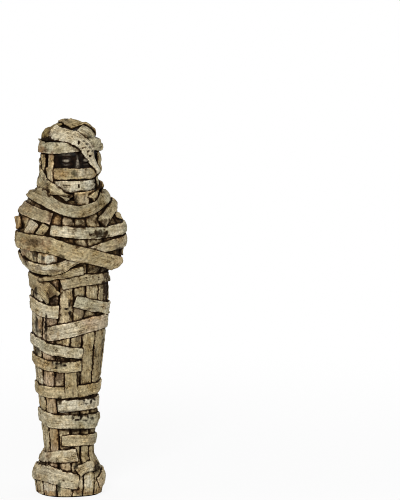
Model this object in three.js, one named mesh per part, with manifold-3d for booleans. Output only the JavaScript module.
// A small wrapped mummy figure: a core in two pieces, body and head, dressed in separate linen strips.
// Millimetres, +Z up. The origin is the middle of the sole, and the face looks along -Y.
import * as THREE from "three";
import { mergeVertices } from "three/addons/utils/BufferGeometryUtils.js";
import Module from "manifold-3d";

const wasm = await Module();
wasm.setup();

// The height to the crown of the core, and the lengths up it from one landmark to the next
const FIGURE_HEIGHT = 98.3;
const TOE_RISE = 4.6;
const INSTEP_RISE = 3.6;
const ANKLE_RISE = 2.8;
const FOREARM_RISE = 3;
const ELBOW_RISE = 5.9;
const UPPER_ARM_RISE = 5.5;
const SHOULDER_RISE = 5.4;
const NECK_RISE = 2.6;
const JAW_RISE = 3;
const FACE_RISE = 5.8;
const CROWN_RISE = 8.5;

// The legs take the rest of the height, in these proportions
const SHIN_PART = 9;
const CALF_PART = 12;
const KNEE_PART = 12;
const THIGH_PART = 14.6;

// The core's sections: half width, depth before and behind the axis, and how square the outline is
const SOLE = { halfWidth: 7.3, front: 6.9, back: 5.8, square: 2.4 };
const TOES = { halfWidth: 7.8, front: 7.4, back: 6.2, square: 2.4 };
const INSTEP = { halfWidth: 6.6, front: 6.3, back: 5.7, square: 2.3 };
const ANKLE = { halfWidth: 5.0, front: 5.2, back: 4.9, square: 2.3 };
const SHIN = { halfWidth: 5.7, front: 5.5, back: 5.2, square: 2.3 };
const KNEE = { halfWidth: 7.0, front: 6.2, back: 5.8, square: 2.3 };
const THIGH = { halfWidth: 8.2, front: 6.8, back: 6.2, square: 2.3 };
const WAIST = { halfWidth: 8.8, front: 7.2, back: 6.6, square: 2.3 };
const FOREARM = { halfWidth: 11.0, front: 8.0, back: 6.9, square: 2.3 };
const ELBOW = { halfWidth: 13.0, front: 8.7, back: 7.2, square: 2.3 };
const UPPER_ARM = { halfWidth: 12.4, front: 8.2, back: 7.2, square: 2.3 };
const SHOULDER = { halfWidth: 10.2, front: 6.8, back: 6.6, square: 2.2 };
const NECK = { halfWidth: 6.9, front: 6.4, back: 6.2, square: 2.0 };
const JAW = { halfWidth: 6.2, front: 7.0, back: 6.6, square: 2.0 };
const HEAD = { halfWidth: 6.4, front: 7.1, back: 7.6, square: 2.0 };

// The face that shows between the brow and cheek bands
const NOSE_BRIDGE = { height: 0.75, halfWidth: 1.0, halfLength: 1.5 };
const EYELID = { height: 0.4, halfWidth: 1.5, halfLength: 0.8 };
const EYE_SPACING = 5.4;

// The neck spigot that the head seats on
const SPIGOT_RADIUS = 3.2;
const SPIGOT_LENGTH = 4;
const SPIGOT_ROOT = 1;
const CORE_CLEARANCE = 0.3;
const NECK_SPLIT_DROP = 0.8;

// The linen
const LINEN_THICKNESS = 0.55;
const LAY_CLEARANCE = 0.33;
const UPRIGHT_GAP = 0.6;
const BROAD = 3.1;
const MEDIUM = 2.8;
const NARROW = 2.3;
const SLIM = 2.0;
const THIN = 1.8;
const STRAND = 1.1;
const FOOTPRINT_MARGIN = 0.2;
const RAMP = 0.35;
const SOLE_CLEARANCE = 0.3;

// How finely the surfaces are stepped
const UPRIGHT_STEP = 2.6;
const BAND_STEP = 1.7;
const BODY_SIDES = 36;
const HEAD_SIDES = 48;
const LEVEL_STEP = 2.6;
const FACE_LEVEL_STEP = 0.75;
const CROWN_LEVELS = 7;
const CROWN_TOP_SHARE = 0.96;
const FRONT_CROWDING = 0.55;

const LINEN = {
  ivory: 0xd6d2bf,
  cream: 0xcac09f,
  tan: 0xb8a57c,
  ochre: 0xa38a58,
};
const LINEN_ROUGHNESS = 0.85;
const DARK_RESIN = 0x2b211b;
const RESIN_ROUGHNESS = 0.6;
const FULL_TURN = 2 * Math.PI;
const UP = new THREE.Vector3(0, 0, 1);

// The landmarks, each a section at its height
const landmarks = [];
function addLandmark(rise, section) {
  const below = landmarks.length ? landmarks[landmarks.length - 1].at : 0;
  landmarks.push({ at: below + rise, ...section });
  return below + rise;
}
const chestRise = FOREARM_RISE + ELBOW_RISE + UPPER_ARM_RISE + SHOULDER_RISE;
const headRise = NECK_RISE + JAW_RISE + FACE_RISE + CROWN_RISE;
addLandmark(0, SOLE);
addLandmark(TOE_RISE, TOES);
addLandmark(INSTEP_RISE, INSTEP);
const ankleHeight = addLandmark(ANKLE_RISE, ANKLE);
const legLength = FIGURE_HEIGHT - ankleHeight - chestRise - headRise;
const legRise = (part) => (part / (SHIN_PART + CALF_PART + KNEE_PART + THIGH_PART)) * legLength;
addLandmark(legRise(SHIN_PART), SHIN);
const kneeHeight = addLandmark(legRise(CALF_PART), KNEE);
addLandmark(legRise(KNEE_PART), THIGH);
const waistHeight = addLandmark(legRise(THIGH_PART), WAIST);
addLandmark(FOREARM_RISE, FOREARM);
addLandmark(ELBOW_RISE, ELBOW);
addLandmark(UPPER_ARM_RISE, UPPER_ARM);
const shoulderHeight = addLandmark(SHOULDER_RISE, SHOULDER);
const neckHeight = addLandmark(NECK_RISE, NECK);
addLandmark(JAW_RISE, JAW);
const headCentre = addLandmark(FACE_RISE, HEAD);
const crownHeight = headCentre + CROWN_RISE;

// Heights as a percentage of the way up one stretch of the figure
const foot = (percent) => (percent / 100) * ankleHeight;
const leg = (percent) => THREE.MathUtils.lerp(ankleHeight, waistHeight, percent / 100);
const arm = (percent) => THREE.MathUtils.lerp(waistHeight, shoulderHeight, percent / 100);
const head = (percent) => THREE.MathUtils.lerp(shoulderHeight, crownHeight, percent / 100);
const eyeHeight = head(57);

// A smooth value between the landmarks that never overshoots them
function between(key, height) {
  const z = THREE.MathUtils.clamp(height, 0, headCentre);
  let i = 0;
  while (i < landmarks.length - 2 && z > landmarks[i + 1].at) i += 1;
  const rise = landmarks[i + 1].at - landmarks[i].at;
  const slopeOver = (k) =>
    (landmarks[k + 1][key] - landmarks[k][key]) / (landmarks[k + 1].at - landmarks[k].at);
  const slopeAt = (k) => {
    if (k === 0 || k === landmarks.length - 1) return 0;
    const below = slopeOver(k - 1);
    const above = slopeOver(k);
    return below * above <= 0 ? 0 : (2 * below * above) / (below + above);
  };
  const t = (z - landmarks[i].at) / rise;
  const start = landmarks[i][key];
  const end = landmarks[i + 1][key];
  const blend = t * t * (3 - 2 * t);
  const leave = slopeAt(i) * rise * (t ** 3 - 2 * t ** 2 + t);
  const arrive = slopeAt(i + 1) * rise * (t ** 3 - t ** 2);
  return start + (end - start) * blend + leave + arrive;
}

// The core's radius at an angle, in radians from the front, and a height up to the middle of the head
function sectionRadius(angle, height) {
  const across = Math.abs(Math.sin(angle)) / between("halfWidth", height);
  const depth = between(Math.cos(angle) > 0 ? "front" : "back", height);
  const along = Math.abs(Math.cos(angle)) / depth;
  const square = between("square", height);
  return (across ** square + along ** square) ** (-1 / square);
}

function coreRadius(angle, height) {
  const over = Math.max(0, height - headCentre) / CROWN_RISE;
  return sectionRadius(angle, height) * Math.sqrt(Math.max(0, 1 - over * over));
}

function corePoint(angle, height, extra = 0) {
  const radius = coreRadius(angle, height) + extra;
  return new THREE.Vector3(radius * Math.sin(angle), -radius * Math.cos(angle), height);
}

// 1 on the core's surface, less inside it, more outside it
function coreLevel(p) {
  const radius = sectionRadius(Math.atan2(p.x, -p.y), p.z);
  const outwards = Math.hypot(p.x, p.y) / radius;
  return Math.hypot(outwards, Math.max(0, p.z - headCentre) / CROWN_RISE);
}

function dropToCore(p) {
  const share = 1 / coreLevel(p);
  const base = Math.min(p.z, headCentre);
  return new THREE.Vector3(p.x * share, p.y * share, base + (p.z - base) * share);
}

function coreNormal(p) {
  const d = 0.05;
  const slope = (x, y, z) => {
    const ahead = coreLevel(new THREE.Vector3(p.x + x, p.y + y, p.z + z));
    return ahead - coreLevel(new THREE.Vector3(p.x - x, p.y - y, p.z - z));
  };
  return new THREE.Vector3(slope(d, 0, 0), slope(0, d, 0), slope(0, 0, d)).normalize();
}

const hump = (distance, halfWidth) => Math.exp(-((distance / halfWidth) ** 2));

// The nose bridge and the closed lids, which stand out of the head between the bands
function faceRelief(angle, height) {
  const around = angle * HEAD.front;
  const up = height - eyeHeight;
  const fade = hump(up, NOSE_BRIDGE.halfLength);
  const nose = NOSE_BRIDGE.height * hump(around, NOSE_BRIDGE.halfWidth) * fade;
  const lids = [-1, 1].map((side) => {
    const off = around - (side * EYE_SPACING) / 2;
    return EYELID.height * hump(off, EYELID.halfWidth) * hump(up, EYELID.halfLength);
  });
  return nose + lids[0] + lids[1];
}

function geometryOf(points, triangles) {
  const geometry = new THREE.BufferGeometry().setFromPoints(points);
  geometry.setIndex(triangles.flat());
  geometry.computeVertexNormals();
  return geometry;
}

// Rings of points, bottom to top, closed with a fan at each end
function loft(rings) {
  const sides = rings[0].length;
  const points = rings.flat();
  const triangles = [];
  for (let level = 0; level < rings.length - 1; level += 1) {
    for (let i = 0; i < sides; i += 1) {
      const a = level * sides + i;
      const b = level * sides + ((i + 1) % sides);
      triangles.push([a, b, b + sides], [a, b + sides, a + sides]);
    }
  }
  const middle = (ring) => ring.reduce((sum, p) => sum.add(p), new THREE.Vector3()).divideScalar(sides);
  const bottom = points.push(middle(rings[0])) - 1;
  const top = points.push(middle(rings[rings.length - 1])) - 1;
  const lastRing = (rings.length - 1) * sides;
  for (let i = 0; i < sides; i += 1) {
    const next = (i + 1) % sides;
    triangles.push([bottom, next, i], [top, lastRing + i, lastRing + next]);
  }
  return geometryOf(points, triangles);
}

function heightsBetween(low, high, step) {
  const count = Math.max(1, Math.round((high - low) / step));
  return Array.from({ length: count + 1 }, (_, i) => low + ((high - low) * i) / count);
}

function manifoldOf(geometry) {
  const bare = geometry.clone();
  bare.deleteAttribute("normal");
  bare.deleteAttribute("uv");
  const merged = mergeVertices(bare);
  const mesh = { numProp: 3, vertProperties: merged.attributes.position.array, triVerts: merged.index.array };
  return new wasm.Manifold(new wasm.Mesh(mesh));
}

function geometryFrom(solid) {
  const { vertProperties, triVerts } = solid.getMesh();
  const geometry = new THREE.BufferGeometry();
  geometry.setAttribute("position", new THREE.BufferAttribute(vertProperties, 3));
  geometry.setIndex(new THREE.BufferAttribute(triVerts, 1));
  geometry.computeVertexNormals();
  return geometry;
}

function uprightCylinder(radius, low, high) {
  const geometry = new THREE.CylinderGeometry(radius, radius, high - low, BODY_SIDES);
  return geometry.rotateX(Math.PI / 2).translate(0, 0, (low + high) / 2);
}

const neckSplit = neckHeight - NECK_SPLIT_DROP;

function bodyCore() {
  const ring = (height) =>
    Array.from({ length: BODY_SIDES }, (_, i) => corePoint((i * FULL_TURN) / BODY_SIDES, height));
  const body = manifoldOf(loft(heightsBetween(0, neckSplit, LEVEL_STEP).map(ring)));
  const spigot = uprightCylinder(SPIGOT_RADIUS, neckSplit - SPIGOT_ROOT, neckSplit + SPIGOT_LENGTH);
  return geometryFrom(body.add(manifoldOf(spigot)));
}

// The head is stepped finely where the face shows and coarsely elsewhere
function headCore() {
  const faceLow = head(45);
  const faceHigh = head(68);
  const bottom = neckSplit + CORE_CLEARANCE;
  const ringAngles = Array.from({ length: HEAD_SIDES }, (_, i) => {
    const turn = (i / HEAD_SIDES) * 2 - 1;
    return Math.PI * ((1 - FRONT_CROWDING) * turn + FRONT_CROWDING * turn ** 3);
  });
  const ring = (height) => ringAngles.map((a) => corePoint(a, height, faceRelief(a, height)));
  const crown = heightsBetween(0, CROWN_TOP_SHARE, CROWN_TOP_SHARE / (CROWN_LEVELS - 1)).map(
    (share) => headCentre + CROWN_RISE * Math.sin((share * Math.PI) / 2),
  );
  const heights = [
    ...heightsBetween(bottom, faceLow, LEVEL_STEP),
    ...heightsBetween(faceLow, faceHigh, FACE_LEVEL_STEP).slice(1),
    ...crown.filter((h) => h > faceHigh + FACE_LEVEL_STEP),
  ];
  const socketTop = neckSplit + SPIGOT_LENGTH + CORE_CLEARANCE;
  const socket = uprightCylinder(SPIGOT_RADIUS + CORE_CLEARANCE, bottom - SPIGOT_ROOT, socketTop);
  return geometryFrom(manifoldOf(loft(heights.map(ring))).subtract(manifoldOf(socket)));
}

// The upright strips under the wraps, with their angles at shoulder, waist, knee and ankle
// in degrees from the front
const UPRIGHTS = [
  { name: "upright_front", angles: [2, 5, -6, 0] },
  { name: "upright_front_right", angles: [26, 30, 22, 23] },
  { name: "upright_right_hip", angles: [48, 54, 48, 48] },
  { name: "upright_right_side", angles: [78, 80, 76, 74] },
  { name: "upright_back_right_outer", angles: [106, 106, 103, 101] },
  { name: "upright_back_right", angles: [131, 131, 129, 128] },
  { name: "upright_back_right_inner", angles: [157, 157, 155, 154] },
  { name: "upright_back", angles: [182, 183, 181, 180] },
  { name: "upright_back_left_inner", angles: [207, 208, 206, 206] },
  { name: "upright_back_left", angles: [233, 234, 232, 232] },
  { name: "upright_left_side_rear", angles: [260, 260, 256, 257] },
  { name: "upright_left_side", angles: [290, 287, 279, 280] },
  { name: "upright_left_hip", angles: [324, 313, 303, 307] },
  { name: "upright_front_left", angles: [344, 340, 329, 335] },
];
const uprightTop = head(5);

function uprightAngle(index, height) {
  const turns = Math.floor(index / UPRIGHTS.length);
  const { angles } = UPRIGHTS[index - turns * UPRIGHTS.length];
  const stops = [ankleHeight, kneeHeight, waistHeight, uprightTop];
  const values = [...angles].reverse();
  const z = THREE.MathUtils.clamp(height, stops[0], stops[3]);
  const i = z > stops[2] ? 2 : z > stops[1] ? 1 : 0;
  const t = THREE.MathUtils.smoothstep(z, stops[i], stops[i + 1]);
  return THREE.MathUtils.degToRad(THREE.MathUtils.lerp(values[i], values[i + 1], t) + 360 * turns);
}

// A station is a row of points on the core, across a strip, with the lift from there to its underside
function stationAt(row, along) {
  const across = row[row.length - 1].clone().sub(row[0]);
  const middle = dropToCore(row[0].clone().addScaledVector(across, 0.5));
  const halfWidth = across.length() / 2;
  return { row, middle, along, across: across.normalize(), halfWidth, lift: LAY_CLEARANCE };
}

function uprightStations(index) {
  return heightsBetween(SOLE_CLEARANCE, uprightTop, UPRIGHT_STEP).map((height) => {
    const edge = (a, b, side) => {
      const angle = (uprightAngle(a, height) + uprightAngle(b, height)) / 2;
      const halfGap = UPRIGHT_GAP / 2 / coreRadius(angle, height);
      return corePoint(angle + side * halfGap, height);
    };
    const ridge = corePoint(uprightAngle(index, height), height);
    return stationAt([edge(index - 1, index, 1), ridge, edge(index, index + 1, -1)], UP);
  });
}

// A band follows a curve through its path points, which are angles in degrees from the front and heights
function bandStations({ path, width }) {
  const curve = new THREE.CatmullRomCurve3(
    path.map(([angle, height]) => corePoint(THREE.MathUtils.degToRad(angle), height)),
  );
  const count = Math.max(3, Math.round(curve.getLength() / BAND_STEP));
  const middles = curve.getSpacedPoints(count).map(dropToCore);
  return middles.map((middle, i) => {
    const ahead = middles[Math.min(i + 1, count)];
    const along = ahead.clone().sub(middles[Math.max(i - 1, 0)]).normalize();
    const across = along.clone().cross(coreNormal(middle)).normalize();
    const edge = (side) => dropToCore(middle.clone().addScaledVector(across, (side * width) / 2));
    return stationAt([edge(-1), edge(1)], along);
  });
}

// How high a laid strip stands over a point of the core, or 0 where it doesn't cover the point
function heightOver(strip, point) {
  const { stations } = strip;
  let nearest = 0;
  let least = Infinity;
  stations.forEach((station, i) => {
    const distance = station.middle.distanceToSquared(point);
    if (distance < least) [nearest, least] = [i, distance];
  });
  const station = stations[nearest];
  const off = point.clone().sub(station.middle);
  const isEnd = nearest === 0 || nearest === stations.length - 1;
  const reach = isEnd ? FOOTPRINT_MARGIN : strip.step;
  const outward = nearest === 0 ? -1 : 1;
  const along = isEnd ? off.dot(station.along) * outward : Math.abs(off.dot(station.along));
  const aside = Math.abs(off.dot(station.across));
  const isCovered = aside <= station.halfWidth + FOOTPRINT_MARGIN && along <= reach;
  return isCovered ? station.lift + LINEN_THICKNESS : 0;
}

// Raises a new strip over the strips that it crosses, with a ramp on each side of a crossing
function drape(stations, laid) {
  const sharesAcross = [0, 0.25, 0.5, 0.75, 1];
  const needed = stations.map(({ row }) => {
    const samples = sharesAcross.map((share) => dropToCore(row[0].clone().lerp(row[row.length - 1], share)));
    return Math.max(0, ...laid.flatMap((strip) => samples.map((p) => heightOver(strip, p))));
  });
  const widened = needed.map((need, i) => Math.max(need, needed[i - 1] ?? 0, needed[i + 1] ?? 0));
  stations.forEach((station, i) => {
    const ramped = widened.map((need, j) => need - RAMP * station.middle.distanceTo(stations[j].middle));
    station.lift = LAY_CLEARANCE + Math.max(0, widened[i], ...ramped);
  });
}

// The strip's section at each station: along its underside, then back along its top
function stripGeometry(stations) {
  const points = stations.flatMap(({ row, lift }) => {
    const raise = (height) => row.map((p) => p.clone().addScaledVector(coreNormal(p), height));
    return [...raise(lift), ...raise(lift + LINEN_THICKNESS).reverse()];
  });
  const count = 2 * stations[0].row.length;
  const triangles = [];
  for (let i = 0; i < stations.length - 1; i += 1) {
    for (let k = 0; k < count; k += 1) {
      const a = count * i + k;
      const b = count * i + ((k + 1) % count);
      triangles.push([a, b + count, b], [a, a + count, b + count]);
    }
  }
  const last = count * (stations.length - 1);
  for (let k = 0; k < count / 2 - 1; k += 1) {
    const [a, b, c, d] = [k, k + 1, count - 2 - k, count - 1 - k];
    triangles.push([a, b, c], [a, c, d], [last + a, last + c, last + b], [last + a, last + d, last + c]);
  }
  return geometryOf(points, triangles);
}

// Every wrap, in the order that it is laid: a later one passes over an earlier one
const BANDS = [
  // Feet
  { name: "left_foot_wrap", width: MEDIUM, tone: "cream", path: [
    [-192, foot(44)], [-140, foot(49)], [-97, foot(52)], [-58, foot(53)], [-31, foot(46)], [1, foot(38)]] },
  { name: "right_foot_wrap", width: BROAD, tone: "tan", path: [
    [155, foot(46)], [100, foot(47)], [62, foot(41)], [43, foot(30)]] },
  { name: "right_instep_wrap", width: MEDIUM, tone: "cream", path: [
    [-1, foot(57)], [14, foot(66)], [38, foot(69)]] },
  // Legs
  { name: "left_ankle_wrap", width: BROAD, tone: "tan", path: [
    [-160, foot(95)], [-92, foot(88)], [-41, foot(94)], [2, foot(99)]] },
  { name: "right_ankle_wrap", width: BROAD, tone: "cream", path: [
    [-33, leg(8.5)], [6, leg(8.6)], [75, leg(8)], [120, leg(8)], [186, leg(7)]] },
  { name: "lower_shin_wrap", width: BROAD, tone: "tan", path: [
    [-152, leg(18.5)], [-105, leg(21.5)], [-55, leg(19.3)], [-18, leg(18.9)], [22, leg(18.5)],
    [75, leg(18.5)], [130, leg(17.5)], [194, leg(17)]] },
  { name: "right_shin_wrap", width: MEDIUM, tone: "cream", path: [
    [-41, leg(28.2)], [-7, leg(28.5)], [34, leg(29)], [62, leg(29.4)], [110, leg(28)], [160, leg(26.5)],
    [212, leg(26)]] },
  { name: "under_knee_wrap", width: MEDIUM, tone: "tan", path: [
    [-198, leg(41)], [-150, leg(40)], [-105, leg(37.5)], [-56, leg(36)], [-14, leg(36.2)], [31, leg(37)],
    [75, leg(38)], [145, leg(40)]] },
  { name: "knee_tab", width: MEDIUM, tone: "tan", path: [
    [-14, leg(50)], [-13, leg(41)], [-12, leg(33.5)]] },
  { name: "knee_wrap", width: MEDIUM, tone: "ochre", path: [
    [-212, leg(49)], [-160, leg(51)], [-105, leg(54)], [-61, leg(51.3)], [-33, leg(50.7)], [9, leg(50.8)]] },
  { name: "over_knee_wrap", width: MEDIUM, tone: "ivory", path: [
    [-192, leg(59)], [-125, leg(64)], [-83, leg(64)], [-50, leg(60.5)], [-25, leg(59)], [11, leg(57.5)]] },
  { name: "thigh_diagonal", width: BROAD, tone: "cream", path: [
    [-57, leg(68.5)], [-10, leg(71.5)], [30, leg(74)], [70, leg(74.5)], [115, leg(72)], [165, leg(69)],
    [196, leg(69)]] },
  { name: "left_thigh_wrap", width: MEDIUM, tone: "cream", path: [
    [-184, leg(79)], [-120, leg(84)], [-85, leg(84)], [-56, leg(81.5)], [-35, leg(81)]] },
  { name: "right_hip_wrap", width: MEDIUM, tone: "ivory", path: [
    [-6, leg(87.5)], [25, leg(84.7)], [70, leg(81.5)], [120, leg(83)], [158, leg(86)]] },
  { name: "left_hip_wrap", width: BROAD, tone: "tan", path: [
    [-200, leg(89)], [-150, leg(94)], [-105, leg(97.5)], [-57, leg(94)], [-35, leg(87.5)]] },
  // Chest and folded arms
  { name: "waist_wrap", width: MEDIUM, tone: "cream", path: [
    [-31, leg(97)], [1, leg(99)], [38, leg(99.5)], [64, leg(99.6)], [110, leg(98)], [168, leg(97)]] },
  { name: "under_arm_wrap", width: NARROW, tone: "tan", path: [
    [-64, arm(1)], [-46, arm(3)], [-14, arm(10)], [10, arm(13)]] },
  { name: "chest_wrap", width: BROAD, tone: "ivory", path: [
    [-44, arm(65)], [-11, arm(62)], [26, arm(60)], [75, arm(61.5)], [120, arm(66)], [170, arm(71)],
    [215, arm(72)]] },
  { name: "elbow_diagonal", width: MEDIUM, tone: "cream", path: [
    [186, arm(43)], [120, arm(47)], [75, arm(45.5)], [45, arm(42)], [21, arm(36)], [-6, arm(27)],
    [-37, arm(16)], [-62, arm(16)], [-92, arm(25)], [-125, arm(32)]] },
  // Shoulders
  { name: "left_arm_strip_outer", width: BROAD, tone: "ochre", path: [
    [-91, arm(76)], [-87, arm(61)]] },
  { name: "left_arm_strip_middle", width: MEDIUM, tone: "cream", path: [
    [-63, arm(75)], [-71, arm(57)]] },
  { name: "left_arm_strip_inner", width: NARROW, tone: "cream", path: [
    [-49, arm(72)], [-57, arm(57)]] },
  { name: "right_arm_strip", width: MEDIUM, tone: "cream", path: [
    [75, arm(81)], [71, arm(73)]] },
  { name: "right_shoulder_wrap", width: MEDIUM, tone: "cream", path: [
    [158, arm(89)], [105, arm(91)], [77, arm(91)], [54, arm(82.5)], [38, arm(71)]] },
  { name: "left_shoulder_wrap", width: MEDIUM, tone: "tan", path: [
    [-186, arm(85)], [-140, arm(87)], [-105, arm(89)], [-80, arm(88)], [-62, arm(84)], [-43, arm(79)]] },
  { name: "chest_diagonal", width: BROAD, tone: "tan", path: [
    [-168, arm(56)], [-105, arm(49)], [-78, arm(48)], [-47, arm(45)], [-21, arm(36.5)], [15, arm(29)],
    [50, arm(20)], [80, arm(13.5)]] },
  // Head
  { name: "mouth_band", width: MEDIUM, tone: "ivory", path: [
    [-150, head(23)], [-100, head(23)], [-42, head(23)], [-2, head(24)], [50, head(23)], [100, head(23)],
    [150, head(23)], [195, head(23)]] },
  { name: "chin_band", width: MEDIUM, tone: "cream", path: [
    [-6, head(6)], [16, head(6)], [40, head(6)]] },
  { name: "cheek_band", width: NARROW, tone: "ochre", path: [
    [-190, head(40)], [-145, head(40)], [-100, head(40)], [-45, head(39)], [-5, head(40)], [45, head(39)],
    [100, head(40)], [154, head(40)]] },
  { name: "nape_band", width: NARROW, tone: "cream", path: [
    [73, head(56)], [110, head(56)], [180, head(56)], [240, head(56)], [280, head(56)]] },
  { name: "left_temple_strap", width: THIN, tone: "cream", path: [
    [-78, head(72)], [-78, head(52)], [-77, head(32)]] },
  { name: "left_cheek_strap", width: THIN, tone: "tan", path: [
    [-53, head(72)], [-53, head(42)], [-53, head(13)]] },
  { name: "right_cheek_strap", width: THIN, tone: "cream", path: [
    [71, head(72)], [72, head(42)], [72, head(14)]] },
  { name: "crown_strip", width: BROAD, tone: "tan", path: [
    [180, head(70)], [180, head(84)], [180, head(94)]] },
  { name: "crown_back_wrap", width: MEDIUM, tone: "cream", path: [
    [98, head(82)], [140, head(85)], [180, head(86)], [220, head(85)], [266, head(82)]] },
  { name: "crown_left_arc", width: MEDIUM, tone: "ochre", path: [
    [150, head(86)], [165, head(96)], [-122, head(97)], [-100, head(88)], [-94, head(77)]] },
  { name: "forehead_strip", width: MEDIUM, tone: "cream", path: [
    [32, head(94)], [42, head(87)], [57, head(77)]] },
  { name: "crown_right_arc", width: MEDIUM, tone: "tan", path: [
    [-40, head(98)], [80, head(98.5)], [90, head(93)], [94, head(85)], [96, head(76)]] },
  { name: "brow_band", width: MEDIUM, tone: "ivory", path: [
    [-192, head(74)], [-140, head(72)], [-95, head(71)], [-57, head(72)], [-32, head(73)], [-4, head(75)],
    [33, head(76)], [75, head(72)], [120, head(72)], [154, head(73)]] },
  { name: "brow_diagonal", width: BROAD, tone: "ivory", path: [
    [-68, head(92)], [-36, head(91.5)], [6, head(83)], [21, head(72)], [35, head(57)], [52, head(40)]] },
  { name: "jaw_wrap_outer", width: STRAND, tone: "tan", path: [
    [-160, head(32)], [-105, head(30)], [-71, head(20)], [-42, head(9)], [-17, head(1)], [5, arm(99)],
    [25, head(1)], [45, head(8)], [75, head(17)], [105, head(27)], [130, head(35)]] },
  { name: "jaw_wrap_inner", width: SLIM, tone: "cream", path: [
    [-178, head(52)], [-130, head(50)], [-99, head(46)], [-71, head(32)], [-42, head(19)], [-17, head(9)]] },
  { name: "collar_wrap", width: BROAD, tone: "tan", path: [
    [-150, head(5)], [-105, head(5)], [-80, head(4)], [-55, head(0)], [-31, arm(92)], [-3, arm(87)],
    [24, arm(89)], [50, arm(98.5)], [75, head(5)], [110, head(6)], [150, head(5.5)], [194, head(5)]] },
];

function pieceOf(name, geometry, colour, roughness) {
  const material = new THREE.MeshStandardMaterial({ color: colour, roughness, metalness: 0 });
  const mesh = new THREE.Mesh(geometry, material);
  mesh.name = name;
  return mesh;
}

const figure = new THREE.Group();
figure.add(pieceOf("body_core", bodyCore(), DARK_RESIN, RESIN_ROUGHNESS));
figure.add(pieceOf("head_core", headCore(), DARK_RESIN, RESIN_ROUGHNESS));

const laid = [];
UPRIGHTS.forEach(({ name }, index) => {
  const stations = uprightStations(index);
  laid.push({ stations, step: UPRIGHT_STEP });
  const colour = index % 2 ? LINEN.tan : LINEN.cream;
  figure.add(pieceOf(name, stripGeometry(stations), colour, LINEN_ROUGHNESS));
});
BANDS.forEach((band) => {
  const stations = bandStations(band);
  drape(stations, laid);
  laid.push({ stations, step: BAND_STEP });
  figure.add(pieceOf(band.name, stripGeometry(stations), LINEN[band.tone], LINEN_ROUGHNESS));
});

export default figure;
